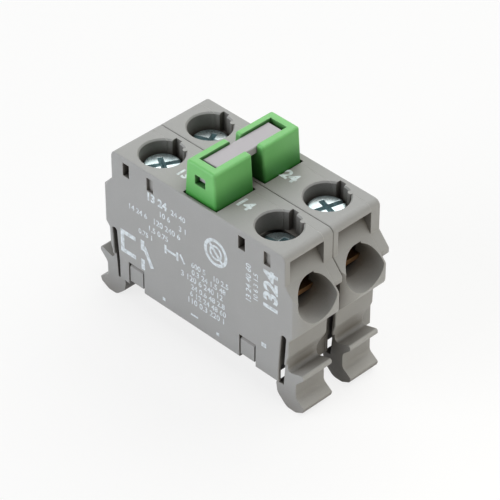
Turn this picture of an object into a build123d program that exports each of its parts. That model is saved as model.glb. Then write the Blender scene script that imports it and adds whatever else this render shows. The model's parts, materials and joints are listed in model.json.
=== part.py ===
from build123d import *

import os

# Double contact block. Millimetres, X along the block, Y across its two poles, Z up.
# The origin is under the middle of the block, on the plane that its snap feet stand on.
# A depth is measured downwards from the flat top face of the block.

# Block
pole_width = 10.0
cover_thickness = 2.0
body_half_length = 18.7
body_depth = 24.2
block_height = 28.4
top_rounding = 1.1
edge_rounding = 0.24
slip = 0.1

# Wire boss at each end
boss_reach = 22.0
boss_slope_depth = 5.3
boss_face_depth = 8.9
boss_chin_depth = 12.4
boss_root_depth = 15.2
lip_thickness = 1.2
pocket_length = 2.1
pocket_rise = 3.0
cheek = 1.0
boss_corner_radius = 4.0
boss_corner_y = 3.34
wire_bore_radius = 2.95
wire_bore_depth = 8.5
wire_bore_inset = 0.4
funnel_length = 3.6
funnel_mouth_radius = 3.85
funnel_mouth_depth = 8.15
funnel_mouth_y = 3.9
key_width = 1.5
cover_boss_reach = 20.8
cover_boss_depth = 7.7
cover_boss_edge = 0.9

# Snap leg at each end: reaches are measured from the end wall or from the face of the leg
end_wall_reach = 17.5
end_wall_lean = 0.5
end_wall_lean_height = 6.2
slot_top_depth = 14.8
slot_top_width = 1.45
slot_foot_width = 0.75
leg_thickness = 0.65
leg_draft = 0.1
leg_bend_depth = 18.2
groove_inset = 0.5
groove_height = 2.1
barb_length = 2.7
barb_drop = 1.1
barb_thickness = 0.9
barb_to_waist = 3.5
waist_length = 1.15
waist_height = 2.6
foot_height = 2.9
lip_length = 3.0
lip_height = 1.6
lip_thickness_at_tip = 0.8
lip_draft = 0.3
heel_length = 0.9
heel_gap = 0.3
heel_curve_height = 1.8
heel_curve_set_back = 0.3
sole_set_back = 0.7
leg_front = 0.4
leg_back = 6.4
leg_shoulder_depth = 17.8
leg_shoulder_height = 2.2
foot_notch_length = 1.7
foot_notch_height = 3.0
foot_notch_skin = 0.5

# Screw wells and terminals
terminal_x = 12.5
terminal_y = 5.0
well_radius = 3.6
well_depth = 3.6
well_edge = 0.25
well_key_width = 1.3
well_key_depth = 0.6
well_rib_radius = 0.45
chamber_inner_x = 9.0
chamber_outer_x = 16.2
chamber_floor_depth = 15.4
side_wall = 1.6
strip_thickness = 0.8
strip_bend = 0.3
strip_depth = 9.5
strip_width = 5.8
strip_reach = 17.1
riser_x = 7.8
contact_strip_width = 4.0
collar_radius = 2.6
collar_height = 1.7

# Terminal screws and clamp plates
screw_head_radius = 3.0
screw_head_height = 1.9
screw_head_depth = 3.5
screw_radius = 1.72
screw_length = 7.0
screw_slot_width = 0.9
screw_slot_depth = 1.0
screw_cross_length = 3.6
screw_cross_depth = 1.5
thread_clearance = 0.08
clamp_length = 6.4
clamp_width = 5.6
clamp_thickness = 1.2
clamp_lip = 0.45
clamp_hole_radius = 1.95
clamp_gap = 0.05

# Plunger, its shaft and the contact chamber
plunger_x = 0.3
plunger_y = 4.6
cap_height = 6.2
cap_top_width = 5.9
cap_base_width = 6.8
cap_length = 7.8
cap_skirt = 1.4
cap_rounding = 0.45
cap_end_wall = 1.5
channel_width = 3.4
channel_depth = 1.6
latch_pocket_width = 2.2
latch_pocket_length = 2.0
window_height = 1.7
window_bottom = 2.7
shaft_clearance = 0.2
shaft_stop_gap = 0.4
contact_chamber_half_length = 6.3
contact_chamber_wall = 1.2
stem_width = 6.0
shoulder_width = 9.2
shoulder_height = 1.3
plunger_travel = 4.2
frame_width = 4.4
frame_top_depth = 8.2
frame_side = 0.9
sill_thickness = 1.2

# Contacts
bridge_length = 11.8
bridge_width = 4.0
bridge_thickness = 0.8
tip_spacing = 9.6
tip_radius = 1.1
tip_height = 0.5
contact_gap = 2.0
strip_gap = 7.0

# Springs
contact_spring_radius = 1.6
contact_spring_wire = 0.35
contact_spring_turns = 4
contact_spring_length = 6.4
return_spring_radius = 1.9
return_spring_wire = 0.4
return_spring_turns = 4.5
return_spring_closed = 2.2
spring_spigot_height = 0.7
spring_spigot_slip = 0.35
spring_well_half_length = 2.9

# Link bar
bar_width = 3.2
bar_thickness = 1.2
bar_end_gap = 0.6
latch_width = 1.8
latch_leg = 1.2
latch_nose_height = 1.1
latch_nose_recess = 0.8
latch_drop = 2.2

# Joints between housings and covers
socket_width = 1.4
socket_height = 2.4
socket_depth = 2.25
deep_socket_offset = -2.8
shallow_socket_offset = 2.5
deep_socket = 1.5
shallow_socket = 0.5
arm_right_x = 10.9
arm_left_x = -13.6
arm_channel_width = 3.5
arm_channel_height = 4.4
arm_left_gap = 0.15
arm_right_gap = 0.4
arm_play = 0.2
arm_recess = 0.7
hook_gap = 0.5
hook_start = 0.15
hook_length = 0.75
ledge_start = 1.2
ledge_width = 1.4
ledge_height = 1.8
pin_radius = 0.8
pin_length = 1.8
pin_upper_x = 6.4
pin_upper_depth = 3.0
pin_lower_x = 6.0
pin_lower_depth = 21.6
core_top_depth = 16.4
core_bottom_depth = 18.8

# Worked out from the sizes above
housing_width = pole_width - cover_thickness
sill_top_depth = frame_top_depth + contact_spring_length + bridge_thickness
sill_bottom_depth = sill_top_depth + sill_thickness
fixed_tip_depth = sill_top_depth + tip_height + contact_gap
contact_strip_depth = fixed_tip_depth + tip_height
shelf_depth = contact_strip_depth + strip_thickness
shaft_depth = cap_skirt + plunger_travel + shaft_stop_gap
return_spring_length = plunger_travel + return_spring_closed
spring_floor_depth = sill_bottom_depth + return_spring_length
wire_bore_y = terminal_y - wire_bore_inset
cap_front = plunger_y - cap_length / 2
cap_back = plunger_y + cap_length / 2
frame_front = contact_chamber_wall + slip
frame_back = housing_width - slip
leg_reach = end_wall_reach + slot_top_width + leg_thickness
waist_foot_depth = block_height - foot_height
waist_top_depth = waist_foot_depth - waist_height
groove_top_depth = waist_top_depth - barb_to_waist
arm_channel_depth = body_depth - arm_channel_height
ledge_bottom_depth = arm_channel_depth + ledge_height
screw_lifts = {"front_left": 1.4, "front_right": 0.0, "rear_left": 0.85, "rear_right": 1.5}
screw_turns = {"front_left": 62, "front_right": 8, "rear_left": 24, "rear_right": 75}
pole_offsets = {"front": -pole_width, "rear": 0.0}
sides = {"left": -1, "right": 1}


def z_at(depth):
    return block_height - depth


# A closed outline in X and depth
def outline(points):
    return make_face(Polyline(*[(x, z_at(depth)) for x, depth in points], close=True))


# An upright rectangle between two X and two depths
def panel(x_a, x_b, depth_a, depth_b):
    return outline([(x_a, depth_a), (x_b, depth_a), (x_b, depth_b), (x_a, depth_b)])


# Rounds the corners of an outline that lie nearest to the points given
def rounded(face, corners):
    for x, depth, radius in corners:
        corner = face.vertices().sort_by_distance((x, z_at(depth), 0))[0]
        face = fillet(corner, radius)
    return face


# Gives an outline its width across the block
def across(face, y_from, y_to):
    return extrude(Plane.XZ.offset(-y_to) * face, amount=y_to - y_from)


# An upright round bar between two depths
def post(x, y, radius, depth_top, depth_bottom):
    height = depth_bottom - depth_top
    return Pos(x, y, z_at(depth_top) - height / 2) * Cylinder(radius, height)


# Right half of the housing seen from the side: top, wire boss, snap leg and underside
def housing_half_outline():
    top_corner = (body_half_length, 0)
    face_top = (boss_reach, boss_face_depth)
    chin = (boss_reach, boss_chin_depth)
    root = (leg_reach, boss_root_depth)
    bend = (leg_reach - leg_draft, leg_bend_depth)
    groove_reach = leg_reach - groove_inset
    groove_top = (groove_reach, groove_top_depth)
    groove_foot = (groove_reach, groove_top_depth + groove_height)
    barb_reach = leg_reach + barb_length
    barb_depth = groove_top_depth + barb_drop
    barb_top = (barb_reach, barb_depth)
    barb_foot = (barb_reach, barb_depth + barb_thickness)
    waist_reach = leg_reach + waist_length
    waist_top = (waist_reach, waist_top_depth)
    waist_foot = (waist_reach, waist_foot_depth)
    lip_reach = leg_reach + lip_length
    lip_depth = block_height - lip_height
    lip_top = (lip_reach, lip_depth)
    lip_foot = (lip_reach - lip_draft, lip_depth + lip_thickness_at_tip)
    sole_front = (waist_reach, block_height)
    sole_back = (leg_reach - sole_set_back, block_height)
    heel_reach = end_wall_reach - heel_length
    heel_curve = (heel_reach + heel_curve_set_back, block_height - heel_curve_height)
    heel_top = (heel_reach, body_depth + heel_gap)
    slot_foot = (end_wall_reach + slot_foot_width, body_depth + heel_gap)
    slot_outer = (end_wall_reach + slot_top_width, slot_top_depth)
    slot_inner = (end_wall_reach + end_wall_lean, slot_top_depth)
    wall_bend = (end_wall_reach, slot_top_depth + end_wall_lean_height)
    boss = [top_corner, (body_half_length, boss_slope_depth), face_top, chin, root]
    leg = [bend, groove_top, groove_foot, barb_top, barb_foot, waist_top, waist_foot]
    foot = [lip_top, lip_foot, sole_front, sole_back, heel_curve, heel_top]
    slot = [slot_foot, slot_outer, slot_inner, wall_bend]
    side_view = outline([(0, 0)] + boss + leg + foot + slot + [(end_wall_reach, body_depth), (0, body_depth)])
    radii = [
        (top_corner, top_rounding),
        (face_top, 1.0),
        (chin, 2.0),
        (root, 0.5),
        (bend, 1.0),
        (groove_top, 0.9),
        (groove_foot, 0.6),
        (barb_top, 0.35),
        (barb_foot, 0.4),
        (waist_top, 1.2),
        (waist_foot, 1.0),
        (lip_top, 0.35),
        (lip_foot, 0.35),
        (sole_front, 0.9),
        (sole_back, 1.6),
        (heel_curve, 1.5),
        (heel_top, 0.4),
        (slot_outer, 0.4),
        (slot_inner, 0.4),
    ]
    return rounded(side_view, [(*corner, radius) for corner, radius in radii])


# Right half of the cover seen from the side: it follows the boss only at the top of its slope
def cover_half_outline():
    points = [
        (0, 0),
        (body_half_length, 0),
        (body_half_length, boss_slope_depth),
        (cover_boss_reach, cover_boss_depth),
        (cover_boss_reach, cover_boss_depth + cover_boss_edge),
        (end_wall_reach, boss_chin_depth),
        (end_wall_reach, body_depth),
        (0, body_depth),
    ]
    corners = [
        (body_half_length, 0, top_rounding),
        (cover_boss_reach, cover_boss_depth, 0.4),
        (cover_boss_reach, cover_boss_depth + cover_boss_edge, 0.4),
    ]
    return rounded(outline(points), corners)


def both_ways(face):
    return face + mirror(face, about=Plane.YZ)


# Screw well with its chamfered rim, its key slot and the rib that guides the driver
def well_cut(x, depth):
    key_x = x - 0.7
    key_reach = terminal_y + well_radius + well_key_depth
    bore = post(x, terminal_y, well_radius, 0, depth)
    rim = Pos(x, terminal_y, z_at(well_edge / 2)) * Cone(well_radius, well_radius + well_edge, well_edge)
    key = across(panel(key_x - well_key_width / 2, key_x + well_key_width / 2, 0, depth), terminal_y, key_reach)
    rib_x = x + well_radius * 0.5
    rib_y = terminal_y + well_radius * 0.87
    rib = post(rib_x, rib_y, well_rib_radius, 0, depth)
    return bore + rim + key - rib


# Rounds the near corner of the right wire boss as seen from above
def boss_corner_cut():
    centre_x = boss_reach - boss_corner_radius
    outside = across(panel(centre_x, boss_reach + 1, boss_slope_depth, boss_root_depth), -1, boss_corner_y)
    return outside - post(centre_x, boss_corner_y, boss_corner_radius, boss_slope_depth, boss_root_depth)


# Trims the right leg from its shoulder down, so that the barb and the foot are narrower than the pole
def leg_trim():
    slot_x = end_wall_reach + slot_foot_width / 2
    inner_x = end_wall_reach - heel_length - 1
    outer_x = leg_reach + lip_length + 1
    split = body_depth + heel_gap / 2
    narrow_depth = leg_shoulder_depth + leg_shoulder_height
    below = panel(slot_x, outer_x, narrow_depth, split) + panel(inner_x, outer_x, split, block_height + 1)
    shoulder = make_face(
        Polyline(
            (leg_back, z_at(narrow_depth)),
            (housing_width, z_at(narrow_depth)),
            (housing_width, z_at(leg_shoulder_depth)),
            close=True,
        )
    )
    diagonal = extrude(Plane.YZ.offset(slot_x) * shoulder, amount=outer_x - slot_x)
    return across(below, -1, leg_front) + across(below, leg_back, housing_width) + diagonal


# Notch in the foot of the right end wall, behind a thin skin
def foot_notch_cut():
    notch = panel(end_wall_reach - foot_notch_length, end_wall_reach, body_depth - foot_notch_height, body_depth)
    return across(notch, foot_notch_skin, housing_width)


# Funnel that leads a wire from the boss to the clamp, with the straight bore behind it
def wire_entry_cut(side):
    bore_end = boss_reach - funnel_length
    bore_plane = Plane(origin=(side * bore_end, wire_bore_y, z_at(wire_bore_depth)), z_dir=(side, 0, 0))
    mouth_plane = Plane(origin=(side * boss_reach, funnel_mouth_y, z_at(funnel_mouth_depth)), z_dir=(side, 0, 0))
    throat = bore_plane * Circle(wire_bore_radius)
    mouth = mouth_plane * Circle(funnel_mouth_radius)
    funnel = loft([throat, mouth])
    lead = extrude(mouth, amount=1.0)
    bore = extrude(throat, amount=chamber_outer_x - bore_end - slip)
    key = across(
        panel(side * (bore_end - 0.8), side * (boss_reach - 1.6), boss_slope_depth + 0.1, wire_bore_depth),
        terminal_y - key_width / 2,
        terminal_y + key_width / 2,
    )
    return funnel + lead + bore + key


# Pocket under the lip of each end, with a floor that falls towards the wire entry
def end_pocket_cut(side):
    back = body_half_length - pocket_length
    floor = outline(
        [
            (side * back, lip_thickness),
            (side * (body_half_length + 1), lip_thickness),
            (side * (body_half_length + 1), boss_slope_depth + 1),
            (side * body_half_length, boss_slope_depth),
            (side * back, boss_slope_depth - pocket_rise),
        ]
    )
    return across(floor, cheek, housing_width)


# Chamber of one terminal with the passages for its strip
def terminal_chamber_cut(side):
    inner_end = plunger_x + side * (contact_chamber_half_length - 0.5)
    upper = panel(side * chamber_inner_x, side * chamber_outer_x, well_depth, chamber_floor_depth)
    chamber = across(upper, side_wall, housing_width)
    strip_top = strip_depth - slip
    strip_foot = strip_depth + strip_thickness
    near_riser = riser_x - strip_thickness / 2 - slip
    far_riser = riser_x + strip_thickness / 2 + slip
    passage = (
        panel(side * near_riser, side * (strip_reach + slip), strip_top, strip_foot)
        + panel(side * near_riser, side * far_riser, strip_top, shelf_depth)
        + panel(inner_end, side * far_riser, contact_strip_depth - slip, shelf_depth)
    )
    bend = strip_bend + slip
    turns = [(side * far_riser, strip_foot, bend), (side * near_riser, contact_strip_depth - slip, bend)]
    passage = rounded(passage, turns)
    strip_front = terminal_y - strip_width / 2 - slip
    return chamber + across(passage, strip_front, housing_width)


# Shaft of the plunger, contact chamber and well of the return spring
def contact_chamber_cut():
    shaft_half = cap_base_width / 2 + shaft_clearance
    shaft = panel(plunger_x - shaft_half, plunger_x + shaft_half, 0, shaft_depth + slip)
    half = contact_chamber_half_length
    chamber = panel(plunger_x - half, plunger_x + half, shaft_depth, shelf_depth)
    half = spring_well_half_length
    well = panel(plunger_x - half, plunger_x + half, shelf_depth, spring_floor_depth)
    shaft_solid = across(shaft, cap_front - shaft_clearance, housing_width)
    return shaft_solid + across(chamber + well, contact_chamber_wall, housing_width)


# Rectangular sockets that the pegs of a neighbouring pole snap into
def socket_cut(x, length):
    half = socket_width / 2
    top = socket_depth - socket_height / 2
    return across(panel(x - half, x + half, top, top + socket_height), 0, length)


# Channel in the underside for a snap arm of the cover, with the ledge that its hook holds
def arm_channel_cut(x):
    half = arm_channel_width / 2
    channel = across(panel(x - half, x + half, arm_channel_depth, body_depth), 0, housing_width)
    ledge = panel(x - half, x + half, arm_channel_depth, ledge_bottom_depth)
    return channel - across(ledge, ledge_start, ledge_start + ledge_width)


def pin_places():
    upper = [(side * pin_upper_x, pin_upper_depth) for side in sides.values()]
    lower = [(side * pin_lower_x, pin_lower_depth) for side in sides.values()]
    return upper + lower


def pins(radius, y_from, y_to):
    rods = [
        Pos(x, (y_from + y_to) / 2, z_at(depth)) * Rot(90, 0, 0) * Cylinder(radius, y_to - y_from)
        for x, depth in pin_places()
    ]
    return Part() + rods


def housing():
    body = across(both_ways(housing_half_outline()), 0, housing_width)
    body = fillet(body.faces().sort_by(Axis.Y)[0].edges(), edge_rounding)
    body -= both_ways(boss_corner_cut() + leg_trim() + foot_notch_cut())
    body -= contact_chamber_cut()
    body -= pins(pin_radius + slip / 2, housing_width - pin_length - slip, housing_width)
    for side in sides.values():
        body -= terminal_chamber_cut(side)
        body -= well_cut(side * terminal_x, well_depth)
        body -= end_pocket_cut(side)
        body -= wire_entry_cut(side)
        body -= socket_cut(side * terminal_x + deep_socket_offset, deep_socket)
        body -= socket_cut(side * terminal_x + shallow_socket_offset, shallow_socket)
        core = panel(side * chamber_inner_x, side * chamber_outer_x, core_top_depth, core_bottom_depth)
        body -= across(core, side_wall, housing_width)
    for x in (arm_left_x, arm_right_x):
        body -= arm_channel_cut(x)
    return body


# Snap arm of the cover: it lies in the channel and its hook stands up in front of the ledge
def snap_arm(x):
    left = x - arm_channel_width / 2 + arm_left_gap
    right = x + arm_channel_width / 2 - arm_right_gap
    bottom = body_depth - arm_recess
    arm = across(panel(left, right, ledge_bottom_depth + arm_play, bottom), hook_start, housing_width)
    hook_end = hook_start + hook_length
    head = across(panel(left, right, arm_channel_depth + hook_gap, bottom), hook_start, hook_end)
    lead = head.edges().filter_by(Axis.X).sort_by(Axis.Z)[-2:].sort_by(Axis.Y)[0]
    return arm + chamfer(lead, 0.35)


# Pegs that join this pole to the sockets of the next one
def joining_pegs():
    half = socket_width / 2 - slip
    top = socket_depth - socket_height / 2 + slip
    bottom = top + socket_height - 2 * slip
    pegs = Part()
    for side in sides.values():
        x = side * terminal_x + deep_socket_offset
        pegs += across(panel(x - half, x + half, top, bottom), pole_width, pole_width + deep_socket - slip)
    return pegs


def cover(with_pegs):
    plate = across(both_ways(cover_half_outline()), housing_width, pole_width)
    plate = fillet(plate.faces().sort_by(Axis.Y)[-1].edges(), edge_rounding)
    shaft_half = cap_base_width / 2 + shaft_clearance
    recess = panel(plunger_x - shaft_half, plunger_x + shaft_half, 0, shaft_depth)
    plate -= across(recess, housing_width, cap_back + shaft_clearance)
    for side in sides.values():
        plate -= well_cut(side * terminal_x, well_depth)
    plate += pins(pin_radius, housing_width - pin_length, housing_width)
    for x in (arm_left_x, arm_right_x):
        plate += snap_arm(x)
    if with_pegs:
        plate += joining_pegs()
    return plate


# Cap of the plunger: a tapered block with a channel for the link bar, open towards the other pole
def plunger_cap(outer_is_front):
    base = cap_base_width / 2
    top = cap_top_width / 2
    profile = outline(
        [
            (plunger_x - base, cap_skirt),
            (plunger_x - base, 0),
            (plunger_x - top, -cap_height),
            (plunger_x + top, -cap_height),
            (plunger_x + base, 0),
            (plunger_x + base, cap_skirt),
        ]
    )
    cap = across(profile, cap_front, cap_back)
    lower = cap.faces().sort_by(Axis.Z)[0].edges()
    cap = fillet(cap.edges() - lower, cap_rounding)
    wall_front = cap_front + cap_end_wall if outer_is_front else cap_front
    wall_back = cap_back if outer_is_front else cap_back - cap_end_wall
    half = channel_width / 2
    channel = panel(plunger_x - half, plunger_x + half, -cap_height, channel_depth - cap_height)
    cap -= across(channel, wall_front, wall_back)
    half = latch_pocket_width / 2
    pocket = panel(plunger_x - half, plunger_x + half, channel_depth - cap_height, latch_drop - cap_height + channel_depth)
    pocket_front = wall_front if outer_is_front else wall_back - latch_pocket_length
    cap -= across(pocket, pocket_front, pocket_front + latch_pocket_length)
    window = panel(plunger_x - half, plunger_x + half, -window_bottom - window_height, -window_bottom)
    if outer_is_front:
        return cap - across(window, cap_front, wall_front)
    return cap - across(window, wall_back, cap_back)


# Round spigot that centres the end of a spring
def spigot(spring_radius, wire, depth_top, depth_bottom):
    radius = spring_radius - wire / 2 - spring_spigot_slip
    return post(plunger_x, plunger_y, radius, depth_top, depth_bottom)


# Stem with the shoulders that keep it in the housing, and the frame that carries the bridge
def plunger(outer_is_front):
    shoulder_top = shaft_depth + slip
    half = stem_width / 2
    stem = panel(plunger_x - half, plunger_x + half, cap_skirt, frame_top_depth)
    half = shoulder_width / 2
    wings = panel(plunger_x - half, plunger_x + half, shoulder_top, shoulder_top + shoulder_height)
    wings = fillet(wings.vertices(), 0.3)
    half = frame_width / 2
    frame = panel(plunger_x - half, plunger_x + half, frame_top_depth, sill_bottom_depth)
    body = across(stem + wings + frame, frame_front, frame_back)
    opening = panel(plunger_x - half, plunger_x + half, frame_top_depth, sill_top_depth)
    body -= across(opening, frame_front + frame_side, frame_back - frame_side)
    body += plunger_cap(outer_is_front)
    spigot_foot = frame_top_depth + spring_spigot_height
    body += spigot(contact_spring_radius, contact_spring_wire, frame_top_depth, spigot_foot)
    spigot_foot = sill_bottom_depth + spring_spigot_height
    body += spigot(return_spring_radius, return_spring_wire, sill_bottom_depth, spigot_foot)
    return body


# Bar that lies in both caps; a latch at each end snaps into the window of its cap
def link_bar():
    front_end = cap_front + cap_end_wall + bar_end_gap - pole_width
    rear_end = cap_back - cap_end_wall - bar_end_gap
    bottom = channel_depth - cap_height
    half = bar_width / 2
    bar = across(panel(plunger_x - half, plunger_x + half, bottom - bar_thickness, bottom), front_end, rear_end)
    bar = fillet(bar.faces().sort_by(Axis.Z)[-1].edges(), 0.2)
    half = latch_width / 2
    leg = panel(plunger_x - half, plunger_x + half, bottom, bottom + latch_drop - slip)
    nose_bottom = -window_bottom - 0.3
    nose = panel(plunger_x - half, plunger_x + half, nose_bottom - latch_nose_height, nose_bottom)
    front_tip = cap_front + latch_nose_recess - pole_width
    rear_tip = cap_back - latch_nose_recess
    bar += across(leg, front_end, front_end + latch_leg) + across(nose, front_tip, front_end + latch_leg)
    bar += across(leg, rear_end - latch_leg, rear_end) + across(nose, rear_end - latch_leg, rear_tip)
    return bar


# Terminal strip: clamped end with a drawn collar for the screw, riser and contact arm
def terminal(side):
    inner = riser_x - strip_thickness / 2
    outer = riser_x + strip_thickness / 2
    arm_end = plunger_x + side * strip_gap / 2
    arm_top = contact_strip_depth
    upper_foot = strip_depth + strip_thickness
    land = panel(side * inner, side * strip_reach, strip_depth, upper_foot)
    riser = panel(side * inner, side * outer, strip_depth, shelf_depth)
    arm = panel(arm_end, side * outer, arm_top, shelf_depth)
    profile = rounded(
        land + riser + arm,
        [
            (side * inner, strip_depth, strip_bend + strip_thickness),
            (side * outer, upper_foot, strip_bend),
            (side * outer, shelf_depth, strip_bend + strip_thickness),
            (side * inner, arm_top, strip_bend),
        ],
    )
    wide = across(profile, terminal_y - strip_width / 2, terminal_y + strip_width / 2)
    narrow_front = plunger_y - contact_strip_width / 2
    narrow_back = plunger_y + contact_strip_width / 2
    trim = panel(arm_end - side, side * (outer + 1), upper_foot + 1, shelf_depth + 1)
    wide -= across(trim, 0, narrow_front) + across(trim, narrow_back, pole_width)
    collar_foot = upper_foot + collar_height
    wide += post(side * terminal_x, terminal_y, collar_radius, upper_foot, collar_foot)
    wide -= post(side * terminal_x, terminal_y, screw_radius + thread_clearance, strip_depth, collar_foot)
    return wide


# Contact tip: a silver button with a chamfered working edge, facing up or down
def contact_tip(x, depth_top, faces_up):
    button = post(x, plunger_y, tip_radius, depth_top, depth_top + tip_height)
    face = button.faces().sort_by(Axis.Z)[-1 if faces_up else 0]
    return chamfer(face.edges(), 0.15)


def bridge():
    half = bridge_length / 2
    strip = across(
        panel(plunger_x - half, plunger_x + half, sill_top_depth - bridge_thickness, sill_top_depth),
        plunger_y - bridge_width / 2,
        plunger_y + bridge_width / 2,
    )
    strip = fillet(strip.edges().filter_by(Axis.Z), 0.8)
    top = sill_top_depth - bridge_thickness
    return strip + spigot(contact_spring_radius, contact_spring_wire, top - spring_spigot_height, top)


def spring(radius, wire, turns, length, foot_depth):
    rise = length - wire
    path = Helix(pitch=rise / turns, height=rise, radius=radius)
    start = Plane(origin=path @ 0, z_dir=path % 0)
    coil = sweep(start * RegularPolygon(wire / 2, 6), path=path, is_frenet=True)
    return Pos(plunger_x, plunger_y, z_at(foot_depth) + wire / 2) * coil


# Clamp plate: a square washer with two lips that hold the wires on either side of the screw
def clamp_plate(side, lift):
    top = screw_head_depth + screw_head_height + clamp_gap - lift
    foot = top + clamp_thickness
    half = clamp_length / 2
    x = side * terminal_x
    plate = across(
        panel(x - half, x + half, top, foot + clamp_lip),
        terminal_y - clamp_width / 2,
        terminal_y + clamp_width / 2,
    )
    groove = panel(x - half, x + half, foot, foot + clamp_lip)
    inset = clamp_width / 2 - clamp_lip
    plate -= across(groove, terminal_y - inset, terminal_y + inset)
    plate = fillet(plate.edges().filter_by(Axis.Z).group_by(SortBy.LENGTH)[-1], 0.4)
    return plate - post(x, terminal_y, clamp_hole_radius, top, foot)


# Terminal screw with a driver slot and a cross recess
def terminal_screw(side, lift, turn):
    top = screw_head_depth - lift
    head = post(0, 0, screw_head_radius, top, top + screw_head_height)
    head = fillet(head.faces().sort_by(Axis.Z)[-1].edges(), 0.35)
    shank = post(0, 0, screw_radius, top + screw_head_height, top + screw_head_height + screw_length)
    shank = chamfer(shank.faces().sort_by(Axis.Z)[0].edges(), 0.3)
    half_slot = screw_slot_width / 2
    slot = panel(-screw_head_radius, screw_head_radius, top, top + screw_slot_depth)
    cross = panel(-screw_cross_length / 2, screw_cross_length / 2, top, top + screw_cross_depth)
    screw = head + shank - across(slot, -half_slot, half_slot)
    cross_cut = across(cross, -half_slot, half_slot)
    screw -= cross_cut + Rot(0, 0, 90) * cross_cut
    return Pos(side * terminal_x, terminal_y, 0) * Rot(0, 0, turn) * screw


def save(name, shape):
    export_step(shape, f"parts/{name}.step")


def save_pole(pole):
    place = Pos(0, pole_offsets[pole], 0)
    outer_is_front = pole == "front"
    save(f"{pole}_housing", place * housing())
    save(f"{pole}_cover", place * cover(with_pegs=outer_is_front))
    save(f"{pole}_plunger", place * plunger(outer_is_front))
    save(f"{pole}_bridge", place * bridge())
    half = tip_spacing / 2
    moving = [contact_tip(plunger_x + side * half, sill_top_depth, False) for side in sides.values()]
    save(f"{pole}_bridge_tips", place * Compound(children=moving))
    save(
        f"{pole}_contact_spring",
        place
        * spring(
            contact_spring_radius,
            contact_spring_wire,
            contact_spring_turns,
            contact_spring_length,
            sill_top_depth - bridge_thickness,
        ),
    )
    save(
        f"{pole}_return_spring",
        place
        * spring(
            return_spring_radius,
            return_spring_wire,
            return_spring_turns,
            return_spring_length,
            spring_floor_depth,
        ),
    )
    for end, side in sides.items():
        corner = f"{pole}_{end}"
        lift = screw_lifts[corner]
        save(f"{corner}_terminal", place * terminal(side))
        save(f"{corner}_fixed_tip", place * contact_tip(plunger_x + side * half, fixed_tip_depth, True))
        save(f"{corner}_clamp", place * clamp_plate(side, lift))
        save(f"{corner}_screw", place * terminal_screw(side, lift, screw_turns[corner]))


os.makedirs("parts", exist_ok=True)
for pole_name in pole_offsets:
    save_pole(pole_name)
save("link_bar", link_bar())
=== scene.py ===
import json
import math

import bmesh
import bpy
from mathutils import Matrix, Vector

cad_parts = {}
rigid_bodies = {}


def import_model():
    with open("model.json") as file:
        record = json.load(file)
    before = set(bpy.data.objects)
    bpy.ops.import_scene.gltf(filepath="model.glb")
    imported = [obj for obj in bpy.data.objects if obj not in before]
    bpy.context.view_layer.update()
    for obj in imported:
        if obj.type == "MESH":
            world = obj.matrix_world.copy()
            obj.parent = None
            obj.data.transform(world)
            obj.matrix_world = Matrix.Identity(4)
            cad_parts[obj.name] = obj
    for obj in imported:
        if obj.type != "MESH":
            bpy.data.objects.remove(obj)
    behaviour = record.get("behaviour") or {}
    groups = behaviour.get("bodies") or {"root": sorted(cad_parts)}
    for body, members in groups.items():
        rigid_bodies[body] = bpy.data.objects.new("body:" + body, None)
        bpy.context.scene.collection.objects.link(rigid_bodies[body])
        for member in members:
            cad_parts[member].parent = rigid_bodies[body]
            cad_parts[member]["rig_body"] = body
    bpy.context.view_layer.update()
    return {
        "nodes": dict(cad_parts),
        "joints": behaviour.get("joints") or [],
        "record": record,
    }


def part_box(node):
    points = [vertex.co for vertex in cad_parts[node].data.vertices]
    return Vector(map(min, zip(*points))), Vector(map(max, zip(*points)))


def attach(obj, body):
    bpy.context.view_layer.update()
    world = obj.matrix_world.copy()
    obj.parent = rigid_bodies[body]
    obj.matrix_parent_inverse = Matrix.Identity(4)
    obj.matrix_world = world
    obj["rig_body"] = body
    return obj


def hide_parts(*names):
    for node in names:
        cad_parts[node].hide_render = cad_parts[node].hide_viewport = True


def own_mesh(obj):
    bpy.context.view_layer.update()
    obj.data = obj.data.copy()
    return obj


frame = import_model()
mm = 0.001
grainDepth = 0.02 * mm
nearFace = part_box("front_housing")[0].y      # outer side wall of the front pole
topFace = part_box("front_housing")[1].z       # flat top of the block
print("frame loaded:", len(frame["nodes"]), "nodes")


# small helpers for node trees

def addNode(tree, kind, **settings):
    node = tree.nodes.new(kind)
    for name, value in settings.items():
        setattr(node, name, value)
    return node


def setInputs(node, values):
    for name, value in values.items():
        node.inputs[name].default_value = value
    return node


def joinSockets(tree, pairs):
    for source, target in pairs:
        tree.links.new(source, target)


def newGroup(name, inputs, outputs):
    tree = bpy.data.node_groups.new(name, "ShaderNodeTree")
    for label, default in inputs.items():
        socket = tree.interface.new_socket(name=label, in_out="INPUT", socket_type="NodeSocketFloat")
        socket.default_value = default
    for label, kind in outputs.items():
        tree.interface.new_socket(name=label, in_out="OUTPUT", socket_type=kind)
    return tree, addNode(tree, "NodeGroupInput"), addNode(tree, "NodeGroupOutput")


def newMaterial(name):
    material = bpy.data.materials.new(name)
    material.use_nodes = True
    tree = material.node_tree
    return material, tree, tree.nodes["Principled BSDF"]


def placeGroup(tree, group, values):
    node = addNode(tree, "ShaderNodeGroup", node_tree=group)
    return setInputs(node, values)


def colourMix(tree, factor, first, second):
    mix = addNode(tree, "ShaderNodeMix", data_type="RGBA")
    for socket, value in ((mix.inputs[0], factor), (mix.inputs[6], first), (mix.inputs[7], second)):
        if isinstance(value, bpy.types.NodeSocket):
            tree.links.new(value, socket)
        elif isinstance(value, tuple):
            socket.default_value = (*value, 1.0)
        else:
            socket.default_value = value
    return mix.outputs[2]


def numberMix(tree, factor, low, high):
    mix = addNode(tree, "ShaderNodeMapRange")
    tree.links.new(factor, mix.inputs["Value"])
    setInputs(mix, {"To Min": low, "To Max": high})
    return mix.outputs["Result"]


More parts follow.
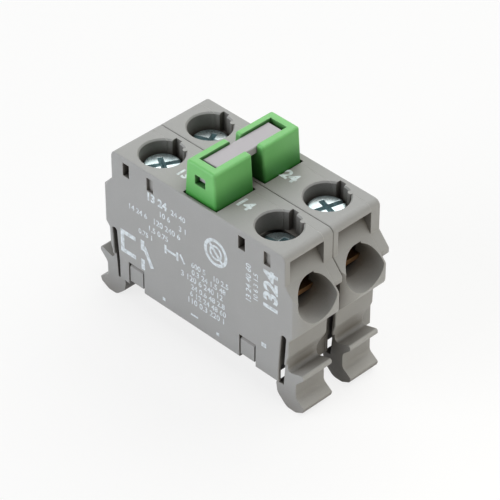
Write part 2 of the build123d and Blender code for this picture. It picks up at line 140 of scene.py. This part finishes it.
# fine spark-eroded grain of a moulding, with slow flow patches and small pale flecks
def buildMouldGrain():
    tree, start, end = newGroup(
        "mouldGrain",
        {"Grain Scale": 9000.0, "Patch Scale": 160.0, "Fleck Scale": 2600.0},
        {"Height": "NodeSocketFloat", "Patches": "NodeSocketFloat", "Flecks": "NodeSocketFloat"},
    )
    where = addNode(tree, "ShaderNodeTexCoord")
    grain = addNode(tree, "ShaderNodeTexNoise")
    setInputs(grain, {"Detail": 3.0, "Roughness": 0.6})
    patches = addNode(tree, "ShaderNodeTexNoise")
    setInputs(patches, {"Detail": 4.0, "Roughness": 0.55})
    flecks = addNode(tree, "ShaderNodeTexVoronoi")
    fleckEdge = addNode(tree, "ShaderNodeMapRange")
    setInputs(fleckEdge, {"From Min": 0.0, "From Max": 0.22, "To Min": 1.0, "To Max": 0.0})
    joinSockets(tree, [
        (where.outputs["Object"], grain.inputs["Vector"]),
        (where.outputs["Object"], patches.inputs["Vector"]),
        (where.outputs["Object"], flecks.inputs["Vector"]),
        (start.outputs["Grain Scale"], grain.inputs["Scale"]),
        (start.outputs["Patch Scale"], patches.inputs["Scale"]),
        (start.outputs["Fleck Scale"], flecks.inputs["Scale"]),
        (flecks.outputs["Distance"], fleckEdge.inputs["Value"]),
        (grain.outputs["Fac"], end.inputs["Height"]),
        (patches.outputs["Fac"], end.inputs["Patches"]),
        (fleckEdge.outputs["Result"], end.inputs["Flecks"]),
    ])
    return tree


# pale rubbed edges with a painted edge highlight: where a bevelled normal leaves the flat one
def buildEdgeWearAndHighlight():
    tree, start, end = newGroup(
        "edgeWear",
        {"Radius": 0.00012, "Break Up": 900.0, "Reach": 0.10},
        {"Mask": "NodeSocketFloat", "Normal": "NodeSocketVector"},
    )
    bevel = addNode(tree, "ShaderNodeBevel", samples=4)
    shape = addNode(tree, "ShaderNodeNewGeometry")
    dot = addNode(tree, "ShaderNodeVectorMath", operation="DOT_PRODUCT")
    away = addNode(tree, "ShaderNodeMath", operation="SUBTRACT")
    away.inputs[0].default_value = 1.0
    spread = addNode(tree, "ShaderNodeMapRange")
    where = addNode(tree, "ShaderNodeTexCoord")
    breakUp = addNode(tree, "ShaderNodeTexNoise")
    worn = addNode(tree, "ShaderNodeMath", operation="MULTIPLY", use_clamp=True)
    joinSockets(tree, [
        (start.outputs["Radius"], bevel.inputs["Radius"]),
        (bevel.outputs["Normal"], dot.inputs[0]),
        (shape.outputs["Normal"], dot.inputs[1]),
        (dot.outputs["Value"], away.inputs[1]),
        (away.outputs["Value"], spread.inputs["Value"]),
        (start.outputs["Reach"], spread.inputs["From Max"]),
        (where.outputs["Object"], breakUp.inputs["Vector"]),
        (start.outputs["Break Up"], breakUp.inputs["Scale"]),
        (spread.outputs["Result"], worn.inputs[0]),
        (breakUp.outputs["Fac"], worn.inputs[1]),
        (worn.outputs["Value"], end.inputs["Mask"]),
        (bevel.outputs["Normal"], end.inputs["Normal"]),
    ])
    return tree


# dust and painted shade that gather in corners and recesses
def buildCornerDustAndShade():
    tree, start, end = newGroup(
        "cavityDust",
        {"Distance": 0.0015, "Power": 1.4},
        {"Mask": "NodeSocketFloat"},
    )
    corner = addNode(tree, "ShaderNodeAmbientOcclusion", samples=8)
    closed = addNode(tree, "ShaderNodeMath", operation="SUBTRACT")
    closed.inputs[0].default_value = 1.0
    shaped = addNode(tree, "ShaderNodeMath", operation="POWER", use_clamp=True)
    joinSockets(tree, [
        (start.outputs["Distance"], corner.inputs["Distance"]),
        (corner.outputs["AO"], closed.inputs[1]),
        (closed.outputs["Value"], shaped.inputs[0]),
        (start.outputs["Power"], shaped.inputs[1]),
        (shaped.outputs["Value"], end.inputs["Mask"]),
    ])
    return tree


# streaks that rolling, drawing or tumbling leaves on metal
def buildMetalStreaks():
    tree, start, end = newGroup(
        "metalStreaks",
        {"Scale": 2500.0, "Stretch X": 1.0, "Stretch Y": 1.0, "Stretch Z": 1.0},
        {"Height": "NodeSocketFloat", "Cloud": "NodeSocketFloat"},
    )
    where = addNode(tree, "ShaderNodeTexCoord")
    stretch = addNode(tree, "ShaderNodeCombineXYZ")
    scaled = addNode(tree, "ShaderNodeVectorMath", operation="MULTIPLY")
    streaks = addNode(tree, "ShaderNodeTexNoise")
    setInputs(streaks, {"Detail": 5.0, "Roughness": 0.65})
    cloud = addNode(tree, "ShaderNodeTexNoise")
    setInputs(cloud, {"Scale": 420.0, "Detail": 3.0})
    joinSockets(tree, [
        (start.outputs["Stretch X"], stretch.inputs["X"]),
        (start.outputs["Stretch Y"], stretch.inputs["Y"]),
        (start.outputs["Stretch Z"], stretch.inputs["Z"]),
        (where.outputs["Object"], scaled.inputs[0]),
        (stretch.outputs["Vector"], scaled.inputs[1]),
        (scaled.outputs["Vector"], streaks.inputs["Vector"]),
        (start.outputs["Scale"], streaks.inputs["Scale"]),
        (where.outputs["Object"], cloud.inputs["Vector"]),
        (streaks.outputs["Fac"], end.inputs["Height"]),
        (cloud.outputs["Fac"], end.inputs["Cloud"]),
    ])
    return tree


mouldGrain = buildMouldGrain()
edgeWear = buildEdgeWearAndHighlight()
cavityDust = buildCornerDustAndShade()
metalStreaks = buildMetalStreaks()


# painted sheen and shade by height: the moulding is painted paler up its sides and keeps a deep painted-shade
# colour near its foot
def shadeTowardFoot(tree, colour, look):
    where = addNode(tree, "ShaderNodeTexCoord")
    parts = addNode(tree, "ShaderNodeSeparateXYZ")
    height = addNode(tree, "ShaderNodeMapRange", interpolation_type="SMOOTHSTEP")
    setInputs(height, {"From Min": look["footHeight"], "From Max": look["paleHeight"]})
    setInputs(height, {"To Min": 1.0, "To Max": 0.0})
    joinSockets(tree, [
        (where.outputs["Object"], parts.inputs["Vector"]),
        (parts.outputs["Z"], height.inputs["Value"]),
    ])
    return colourMix(tree, height.outputs["Result"], colour, look["foot"])


# bores and slots go almost black where hardly any sky reaches them
def shadeHollows(tree, colour, look):
    closed = placeGroup(tree, cavityDust, {"Distance": look["hollowReach"], "Power": look["hollowPower"]})
    amount = numberMix(tree, closed.outputs["Mask"], 0.0, look["hollowAmount"])
    return colourMix(tree, amount, colour, look["hollow"])


# moulded plastic: grain, slow patches, pale flecks, rubbed edges with a painted edge highlight, painted sheen
# and shade by height where a look asks, and dust with painted shade in corners and hollows
def makePlastic(name, look):
    material, tree, shader = newMaterial(name)
    grain = placeGroup(tree, mouldGrain, {"Grain Scale": look["grainScale"]})
    wearAndHighlight = placeGroup(tree, edgeWear, {"Radius": look["edgeRadius"]})
    dust = placeGroup(tree, cavityDust, {"Distance": look["dustReach"], "Power": look["dustPower"]})
    base = colourMix(tree, grain.outputs["Patches"], look["deep"], look["light"])
    fleck = numberMix(tree, grain.outputs["Flecks"], 0.0, look["fleckAmount"])
    flecked = colourMix(tree, fleck, base, look["fleck"])
    # rubbed wear with a painted edge highlight
    rubAndHighlight = numberMix(tree, wearAndHighlight.outputs["Mask"], 0.0, look["wearAmount"])
    rubbedLitAndShaded = colourMix(tree, rubAndHighlight, flecked, look["worn"])
    # painted sheen above and painted shade near the foot
    if "foot" in look:
        rubbedLitAndShaded = shadeTowardFoot(tree, rubbedLitAndShaded, look)
    # dust with painted shade in corners and recesses
    dustAndShadeShare = numberMix(tree, dust.outputs["Mask"], 0.0, look["dustAmount"])
    dustedAndShaded = colourMix(tree, dustAndShadeShare, rubbedLitAndShaded, look["dust"])
    if "hollow" in look:
        dustedAndShaded = shadeHollows(tree, dustedAndShaded, look)
    rough = numberMix(tree, grain.outputs["Patches"], look["roughLow"], look["roughHigh"])
    bump = addNode(tree, "ShaderNodeBump")
    setInputs(bump, {"Strength": look["bump"], "Distance": grainDepth})
    joinSockets(tree, [
        (dustedAndShaded, shader.inputs["Base Color"]),
        (rough, shader.inputs["Roughness"]),
        (grain.outputs["Height"], bump.inputs["Height"]),
        (wearAndHighlight.outputs["Normal"], bump.inputs["Normal"]),
        (bump.outputs["Normal"], shader.inputs["Normal"]),
    ])
    shader.inputs["Specular IOR Level"].default_value = look["specular"]
    return material


# bare or plated metal: streaks, cloudy tint, and tarnish with painted shade in the corners
def makeMetal(name, look):
    material, tree, shader = newMaterial(name)
    values = {"Scale": look["streakScale"]}
    values.update({f"Stretch {axis}": value for axis, value in zip("XYZ", look["stretch"])})
    streaks = placeGroup(tree, metalStreaks, values)
    wearAndHighlight = placeGroup(tree, edgeWear, {"Radius": look["edgeRadius"]})
    dust = placeGroup(tree, cavityDust, {"Distance": look["dustReach"], "Power": look["dustPower"]})
    base = colourMix(tree, streaks.outputs["Cloud"], look["tint"], look["bright"])
    # tarnish with painted shade, gathered by the corner mask
    dustAndShadeShare = numberMix(tree, dust.outputs["Mask"], 0.0, look["dustAmount"])
    tarnishedAndShaded = colourMix(tree, dustAndShadeShare, base, look["tarnish"])
    rough = numberMix(tree, streaks.outputs["Height"], look["roughLow"], look["roughHigh"])
    bump = addNode(tree, "ShaderNodeBump")
    setInputs(bump, {"Strength": look["bump"], "Distance": grainDepth})
    joinSockets(tree, [
        (tarnishedAndShaded, shader.inputs["Base Color"]),
        (rough, shader.inputs["Roughness"]),
        (streaks.outputs["Height"], bump.inputs["Height"]),
        (wearAndHighlight.outputs["Normal"], bump.inputs["Normal"]),
        (bump.outputs["Normal"], shader.inputs["Normal"]),
    ])
    shader.inputs["Metallic"].default_value = 1.0
    if look["recessMetallic"] < 1.0:
        film = numberMix(tree, dust.outputs["Mask"], 1.0, look["recessMetallic"])
        tree.links.new(film, shader.inputs["Metallic"])
    return material


# housing: the warm dark corner colour is dust with painted shade in corners, recesses and under ledges; the
# hollow colour is painted shade in bores; the pale edge tone is rubbed wear with a painted edge highlight
housingLook = {
    "deep": (0.335, 0.335, 0.335),
    "light": (0.395, 0.395, 0.395),
    "fleck": (0.56, 0.56, 0.55),
    "fleckAmount": 0.35,
    "worn": (0.66, 0.65, 0.62),
    "wearAmount": 0.85,
    "dust": (0.085, 0.060, 0.030),
    "dustAmount": 0.88,
    "dustReach": 0.0070,
    "dustPower": 1.15,
    "hollow": (0.020, 0.018, 0.018),
    "hollowAmount": 1.0,
    "hollowReach": 0.018,
    "hollowPower": 3.4,
    "grainScale": 9000.0,
    "edgeRadius": 0.00014,
    "roughLow": 0.48,
    "roughHigh": 0.62,
    "bump": 0.35,
    "specular": 0.45,
}
# green caps: the dark green corner colour is painted shade at their base and between them; the foot colour is
# painted shade low on their sides, paler above as painted sheen; the pale edge tone is wear with a painted
# rim highlight
plungerLook = {
    "deep": (0.130, 0.470, 0.115),
    "light": (0.195, 0.590, 0.175),
    "foot": (0.050, 0.340, 0.045),
    "footHeight": topFace,
    "paleHeight": topFace + 4.5 * mm,
    "fleck": (0.30, 0.66, 0.27),
    "fleckAmount": 0.12,
    "worn": (0.40, 0.82, 0.36),
    "wearAmount": 0.95,
    "dust": (0.003, 0.030, 0.002),
    "dustAmount": 0.95,
    "dustReach": 0.0055,
    "dustPower": 1.2,
    "grainScale": 12000.0,
    "edgeRadius": 0.00030,
    "roughLow": 0.34,
    "roughHigh": 0.46,
    "bump": 0.18,
    "specular": 0.5,
}
barLook = {
    "deep": (0.43, 0.41, 0.45),
    "light": (0.50, 0.475, 0.51),
    "fleck": (0.62, 0.60, 0.63),
    "fleckAmount": 0.15,
    "worn": (0.70, 0.68, 0.71),
    "wearAmount": 0.5,
    "dust": (0.16, 0.15, 0.16),
    "dustAmount": 0.6,
    "dustReach": 0.0010,
    "dustPower": 1.5,
    "grainScale": 12000.0,
    "edgeRadius": 0.00012,
    "roughLow": 0.42,
    "roughHigh": 0.55,
    "bump": 0.2,
    "specular": 0.45,
}
screwLook = {
    "bright": (0.80, 0.85, 0.86),
    "tint": (0.24, 0.37, 0.41),
    "tarnish": (0.30, 0.46, 0.49),
    "dustAmount": 0.78,
    "dustReach": 0.0012,
    "dustPower": 1.2,
    "recessMetallic": 0.25,
    "streakScale": 5000.0,
    "stretch": (1.0, 1.0, 1.0),
    "edgeRadius": 0.00010,
    "roughLow": 0.20,
    "roughHigh": 0.38,
    "bump": 0.15,
}
clampLook = dict(
    screwLook, bright=(0.78, 0.80, 0.78), tint=(0.58, 0.64, 0.64), roughLow=0.28, roughHigh=0.46
)
# copper: the near-black tarnish in corners is mostly painted shade that darkens the strip inside the wire
# entries
copperLook = {
    "bright": (0.90, 0.55, 0.28),
    "tint": (0.72, 0.38, 0.18),
    "tarnish": (0.06, 0.026, 0.012),
    "dustAmount": 0.92,
    "dustReach": 0.0045,
    "dustPower": 1.2,
    "recessMetallic": 1.0,
    "streakScale": 3200.0,
    "stretch": (0.08, 1.0, 1.0),
    "edgeRadius": 0.00008,
    "roughLow": 0.26,
    "roughHigh": 0.44,
    "bump": 0.25,
}
silverLook = dict(
    screwLook, bright=(0.93, 0.92, 0.89), tint=(0.82, 0.81, 0.78), roughLow=0.22, roughHigh=0.34
)
wireLook = {
    "bright": (0.62, 0.62, 0.62),
    "tint": (0.48, 0.48, 0.50),
    "tarnish": (0.15, 0.14, 0.13),
    "dustAmount": 0.5,
    "dustReach": 0.0005,
    "dustPower": 1.2,
    "recessMetallic": 1.0,
    "streakScale": 4000.0,
    "stretch": (1.0, 1.0, 0.15),
    "edgeRadius": 0.00005,
    "roughLow": 0.26,
    "roughHigh": 0.40,
    "bump": 0.2,
}
nodeFinishes = {
    "housing_plastic": makePlastic("housingPlastic", housingLook),
    "plunger_plastic": makePlastic("plungerPlastic", plungerLook),
    "bar_plastic": makePlastic("barPlastic", barLook),
    "zinc_plated_steel": makeMetal("screwZinc", screwLook),
    "copper_alloy": makeMetal("terminalCopper", copperLook),
    "silver": makeMetal("contactSilver", silverLook),
    "spring_steel": makeMetal("springWire", wireLook),
}
clampZinc = makeMetal("clampZinc", clampLook)
for row in frame["record"]["subparts"]:
    nodeObject = frame["nodes"][row["node"]]
    finish = clampZinc if row["node"].endswith("_clamp") else nodeFinishes[row["material_slot"]]
    nodeObject.data.materials.clear()
    nodeObject.data.materials.append(finish)
print("finishes set on", len(frame["nodes"]), "nodes")


# springs: each coil that a joint lists as deforming is copied into a piece of its own on the same body, and
# its node is hidden
def buildSprings():
    for joint in frame["joints"]:
        for row in joint.get("deforming_nodes", []):
            coil = frame["nodes"][row["node"]]
            piece = bpy.data.objects.new("coil" + row["node"].title().replace("_", ""), coil.data.copy())
            bpy.context.scene.collection.objects.link(piece)
            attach(piece, coil["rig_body"])
            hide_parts(row["node"])
            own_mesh(piece)


buildSprings()


# pale print: thin ink with a broken edge, worn through in places
inkLook = {
    "ink": (0.76, 0.82, 0.87),
    "thin": (0.52, 0.56, 0.59),
    "wearScale": 1500.0,
    "wornBelow": 0.36,
    "wholeAbove": 0.56,
    "roughLow": 0.5,
    "roughHigh": 0.6,
    "bump": 0.3,
}


def makeInk():
    material, tree, shader = newMaterial("printInk")
    grain = placeGroup(tree, mouldGrain, {"Grain Scale": 9000.0, "Patch Scale": inkLook["wearScale"]})
    worn = addNode(tree, "ShaderNodeMapRange")
    setInputs(worn, {"From Min": inkLook["wornBelow"], "From Max": inkLook["wholeAbove"]})
    bump = addNode(tree, "ShaderNodeBump")
    setInputs(bump, {"Strength": inkLook["bump"], "Distance": grainDepth / 2})
    tree.links.new(grain.outputs["Patches"], worn.inputs["Value"])
    colour = colourMix(tree, worn.outputs["Result"], inkLook["thin"], inkLook["ink"])
    rough = numberMix(tree, grain.outputs["Flecks"], inkLook["roughLow"], inkLook["roughHigh"])
    joinSockets(tree, [
        (colour, shader.inputs["Base Color"]),
        (rough, shader.inputs["Roughness"]),
        (grain.outputs["Height"], bump.inputs["Height"]),
        (bump.outputs["Normal"], shader.inputs["Normal"]),
    ])
    return material


printInk = makeInk()

# generic print on the near side wall: plain numbers and contact symbols, at X and depth in millimetres
sidePrint = {
    "inkThickness": 0.015,
    "strokeStep": 0.02,
    "light": 0.020,
    "bold": 0.042,
    "smallSize": 1.9,
    "numbers": [
        ("13 24", -8.6, 4.5, 2.0, 0),
        ("24 40", -3.9, 4.8, 1.4, 0),
        ("10 6", -6.9, 6.5, 1.4, 0),
        ("3 1", -2.9, 6.9, 1.4, 0),
        ("14 24 6", -12.9, 8.6, 1.4, 0),
        ("120 240 6", -6.5, 8.6, 1.5, 0),
        ("1.5 0.75", -8.4, 10.5, 1.4, 0),
        ("0.75 1", -11.2, 12.2, 1.3, 0),
        ("600 5", 0.4, 12.3, 1.4, 0),
        ("10 2.5", 5.2, 12.3, 1.4, 0),
        ("0.3 24 1.5 48", 2.6, 13.7, 1.4, 0),
        ("3 120 6 240 12", 1.1, 15.1, 1.5, 0),
        ("24 0.6 48 2.8", 2.4, 16.6, 1.4, 0),
        ("6 12 24 48 60", 2.4, 18.0, 1.4, 0),
        ("110 0.3 220 1", 2.0, 19.4, 1.5, 0),
        ("13 24 40 60", 11.2, 8.8, 1.5, 90),
        ("10 6 3 1.5", 12.7, 8.8, 1.3, 90),
        ("1324", 15.9, 8.0, 3.9, 90),
    ],
    "bars": [
        (-16.6, 16.2, 0.8, 4.4),
        (-15.1, 14.4, 3.0, 0.8),
        (-15.1, 18.0, 3.0, 0.8),
        (-12.0, 14.7, 0.8, 2.0),
        (-12.0, 18.4, 0.8, 2.0),
        (-5.5, 12.5, 2.8, 0.45),
        (-6.8, 12.5, 0.45, 1.6),
        (-4.2, 12.5, 0.45, 1.6),
        (14.4, 18.8, 1.0, 0.8),
        (-7.4, 22.6, 0.6, 0.6),
        (-0.6, 22.0, 1.6, 0.35),
        (4.5, 22.6, 0.6, 0.6),
    ],
    "slants": [(-10.8, 16.4, 0.8, 3.8, 28), (-3.1, 12.4, 0.4, 1.7, 35)],
    "rings": [(4.2, 7.1, 2.5, 0.6), (4.2, 7.1, 1.35, 0.4)],
    "ringBars": [(4.2, 7.1, 0.5, 4.0, 45)],
}
topPrint = {"numbers": [("14", 5.4, -5.1, 2.8), ("24", 5.2, 4.5, 2.8), ("13", -6.4, -6.4, 2.3)]}


def textMesh(label, size, thickness):
    curve = bpy.data.curves.new("markCurve", "FONT")
    curve.body = label
    curve.size = size * mm
    curve.align_x = "CENTER"
    curve.align_y = "CENTER"
    curve.extrude = thickness * mm
    curve.offset = sidePrint["bold" if size > sidePrint["smallSize"] else "light"] * size * mm
    curve.resolution_u = 3
    holder = bpy.data.objects.new("markHolder", curve)
    bpy.context.scene.collection.objects.link(holder)
    bpy.context.view_layer.update()
    mesh = bpy.data.meshes.new_from_object(holder.evaluated_get(bpy.context.evaluated_depsgraph_get()))
    bpy.data.objects.remove(holder)
    return mesh


def addBar(bm, length, height, thickness, place):
    size = Matrix.Diagonal((length * mm, height * mm, 2 * thickness * mm, 1))
    bmesh.ops.create_cube(bm, size=1.0, matrix=place @ size)


def addRing(bm, radius, width, thickness, place):
    steps = 40
    circles = []
    for r, z in ((radius, 1), (radius - width, 1), (radius - width, -1), (radius, -1)):
        row = []
        for i in range(steps):
            angle = 2 * math.pi * i / steps
            point = Vector((r * math.cos(angle), r * math.sin(angle), z * thickness)) * mm
            row.append(bm.verts.new(place @ point))
        circles.append(row)
    for a in range(4):
        first = circles[a]
        second = circles[(a + 1) % 4]
        for i in range(steps):
            j = (i + 1) % steps
            bm.faces.new((first[i], first[j], second[j], second[i]))


def finishPiece(bm, name, material, body):
    bmesh.ops.recalc_face_normals(bm, faces=bm.faces)
    mesh = bpy.data.meshes.new(name)
    bm.to_mesh(mesh)
    bm.free()
    mesh.materials.append(material)
    piece = bpy.data.objects.new(name, mesh)
    bpy.context.scene.collection.objects.link(piece)
    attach(piece, body)
    return piece


# a place on the near wall, with print facing out of it
def onWall(x, depth, turn):
    spot = Vector((x * mm, nearFace, topFace - depth * mm))
    upright = Matrix.Rotation(math.pi / 2, 4, "X")
    return Matrix.Translation(spot) @ upright @ Matrix.Rotation(math.radians(turn), 4, "Z")


def onTop(x, y):
    return Matrix.Translation(Vector((x * mm, y * mm, topFace)))


def buildSidePrint():
    bm = bmesh.new()
    ink = sidePrint["inkThickness"]
    for label, x, depth, size, turn in sidePrint["numbers"]:
        mesh = textMesh(label, size, ink)
        mesh.transform(onWall(x, depth, turn))
        bm.from_mesh(mesh)
    strokes = [(*bar, 0) for bar in sidePrint["bars"]] + sidePrint["slants"] + sidePrint["ringBars"]
    for i, (x, depth, length, height, turn) in enumerate(strokes):
        thickness = ink * (1 + sidePrint["strokeStep"] * (i + 1))    # crossing strokes never share a face
        addBar(bm, length, height, thickness, onWall(x, depth, turn))
    for x, depth, radius, width in sidePrint["rings"]:
        addRing(bm, radius, width, ink, onWall(x, depth, 0))
    piece = finishPiece(bm, "sidePrint", printInk, "base")
    return piece


def buildTopPrint():
    bm = bmesh.new()
    for label, x, y, size in topPrint["numbers"]:
        mesh = textMesh(label, size, sidePrint["inkThickness"])
        mesh.transform(onTop(x, y))
        bm.from_mesh(mesh)
    piece = finishPiece(bm, "topPrint", printInk, "base")
    return piece


buildSidePrint()
buildTopPrint()
print("print added")


# 1 for the rays that show the white background: the camera's own, and those off metal or through glass
def showsBackground(tree):
    ray = addNode(tree, "ShaderNodeLightPath")
    bounced = addNode(tree, "ShaderNodeMath", operation="MAXIMUM")
    shown = addNode(tree, "ShaderNodeMath", operation="MAXIMUM")
    joinSockets(tree, [
        (ray.outputs["Is Glossy Ray"], bounced.inputs[0]),
        (ray.outputs["Is Transmission Ray"], bounced.inputs[1]),
        (ray.outputs["Is Camera Ray"], shown.inputs[0]),
        (bounced.outputs["Value"], shown.inputs[1]),
    ])
    return shown.outputs["Value"]


# pale floor, which keeps a soft shadow
floorLook = {
    "half": 1.5,
    "gap": 0.02 * mm,
    "paint": (0.90, 0.90, 0.90),
    "whiteShare": 0.80,
}


def buildFloor():
    bm = bmesh.new()
    half = floorLook["half"]
    outline = ((-half, -half), (half, -half), (half, half), (-half, half))
    bm.faces.new([bm.verts.new((x, y, 0.0)) for x, y in outline])
    mesh = bpy.data.meshes.new("floor")
    bm.to_mesh(mesh)
    bm.free()
    material, tree, shader = newMaterial("floorPaper")
    setInputs(shader, {"Base Color": (*floorLook["paint"], 1.0), "Roughness": 0.9, "Specular IOR Level": 0.1})
    glow = addNode(tree, "ShaderNodeEmission")
    share = addNode(tree, "ShaderNodeMath", operation="MULTIPLY")
    share.inputs[1].default_value = floorLook["whiteShare"]
    mix = addNode(tree, "ShaderNodeMixShader")
    joinSockets(tree, [
        (showsBackground(tree), share.inputs[0]),
        (share.outputs["Value"], mix.inputs["Fac"]),
        (shader.outputs["BSDF"], mix.inputs[1]),
        (glow.outputs["Emission"], mix.inputs[2]),
        (mix.outputs["Shader"], tree.nodes["Material Output"].inputs["Surface"]),
    ])
    mesh.materials.append(material)
    floor = bpy.data.objects.new("floor", mesh)
    floor.location.z = -floorLook["gap"]
    bpy.context.scene.collection.objects.link(floor)


# soft boxes, and a warm card at the right end: direction, distance and size in metres, power in watts
lamps = {
    "overBox": {
        "from": (0.32, 0.0, 0.95), "distance": 0.62, "size": (0.36, 0.36),
        "power": 1.2, "tint": (1.0, 1.0, 0.95),
    },
    "frontBox": {
        "from": (-0.40, -0.85, 0.40), "distance": 0.62, "size": (0.42, 0.42),
        "power": 2.35, "tint": (0.98, 1.0, 1.03),
    },
    "backBox": {
        "from": (-0.50, 0.62, 0.62), "distance": 0.70, "size": (0.50, 0.50),
        "power": 1.6, "tint": (1.0, 1.0, 0.95),
    },
    "farBox": {
        "from": (0.12, 0.75, 0.85), "distance": 0.70, "size": (0.50, 0.50),
        "power": 1.9, "tint": (1.0, 1.0, 0.95),
    },
    "endCard": {
        "from": (1.0, -0.05, 0.04), "distance": 0.082, "size": (0.07, 0.012),
        "power": 0.0108, "tint": (1.0, 0.91, 0.72),
    },
}
worldLook = {"glow": 0.03, "tint": (0.94, 0.97, 1.0)}


def buildLamps():
    middle = Vector((0.0, 0.0, topFace / 2))
    for name, lamp in lamps.items():
        light = bpy.data.lights.new(name, "AREA")
        light.shape = "RECTANGLE"
        light.size, light.size_y = lamp["size"]
        light.energy = lamp["power"]
        light.color = lamp["tint"]
        holder = bpy.data.objects.new(name, light)
        holder.visible_camera = False
        direction = Vector(lamp["from"]).normalized()
        holder.location = middle + direction * lamp["distance"]
        holder.rotation_euler = direction.to_track_quat("Z", "Y").to_euler()
        bpy.context.scene.collection.objects.link(holder)


def buildWorld():
    world = bpy.data.worlds.new("studio")
    world.use_nodes = True
    bpy.context.scene.world = world
    tree = world.node_tree
    soft = tree.nodes["Background"]
    setInputs(soft, {"Color": (*worldLook["tint"], 1.0), "Strength": worldLook["glow"]})
    white = addNode(tree, "ShaderNodeBackground")
    mix = addNode(tree, "ShaderNodeMixShader")
    joinSockets(tree, [
        (showsBackground(tree), mix.inputs["Fac"]),
        (soft.outputs["Background"], mix.inputs[1]),
        (white.outputs["Background"], mix.inputs[2]),
        (mix.outputs["Shader"], tree.nodes["World Output"].inputs["Surface"]),
    ])


# camera fitted to the photograph; it aims at the middle of the top face, then shifts across and up
cameraFit = {
    "azimuth": 45.476,
    "elevation": 38.108,
    "distance": 416.2,
    "across": 0.907,
    "rise": -11.315,
    "focalPixels": 2783.5,
    "imagePixels": 500,
    "sensor": 36.0,
}


def buildCamera():
    turn = math.radians(cameraFit["azimuth"])
    lift = math.radians(cameraFit["elevation"])
    back = Vector((math.sin(turn) * math.cos(lift), -math.cos(turn) * math.cos(lift), math.sin(lift)))
    right = Vector((math.cos(turn), math.sin(turn), 0.0))
    up = back.cross(right)
    camera = bpy.data.cameras.new("photoCamera")
    camera.sensor_width = cameraFit["sensor"]
    camera.lens = cameraFit["focalPixels"] / cameraFit["imagePixels"] * cameraFit["sensor"]
    camera.clip_start = 0.01
    holder = bpy.data.objects.new("photoCamera", camera)
    spot = (back * cameraFit["distance"] + right * cameraFit["across"] + up * cameraFit["rise"]) * mm
    spot += Vector((0.0, 0.0, topFace))
    turned = Matrix((right, up, back)).transposed().to_4x4()
    holder.matrix_world = Matrix.Translation(spot) @ turned
    bpy.context.scene.collection.objects.link(holder)
    bpy.context.scene.camera = holder


buildFloor()
buildLamps()
buildWorld()
buildCamera()
bpy.context.scene.view_settings.view_transform = "Standard"
print("stage, lamps and camera set")
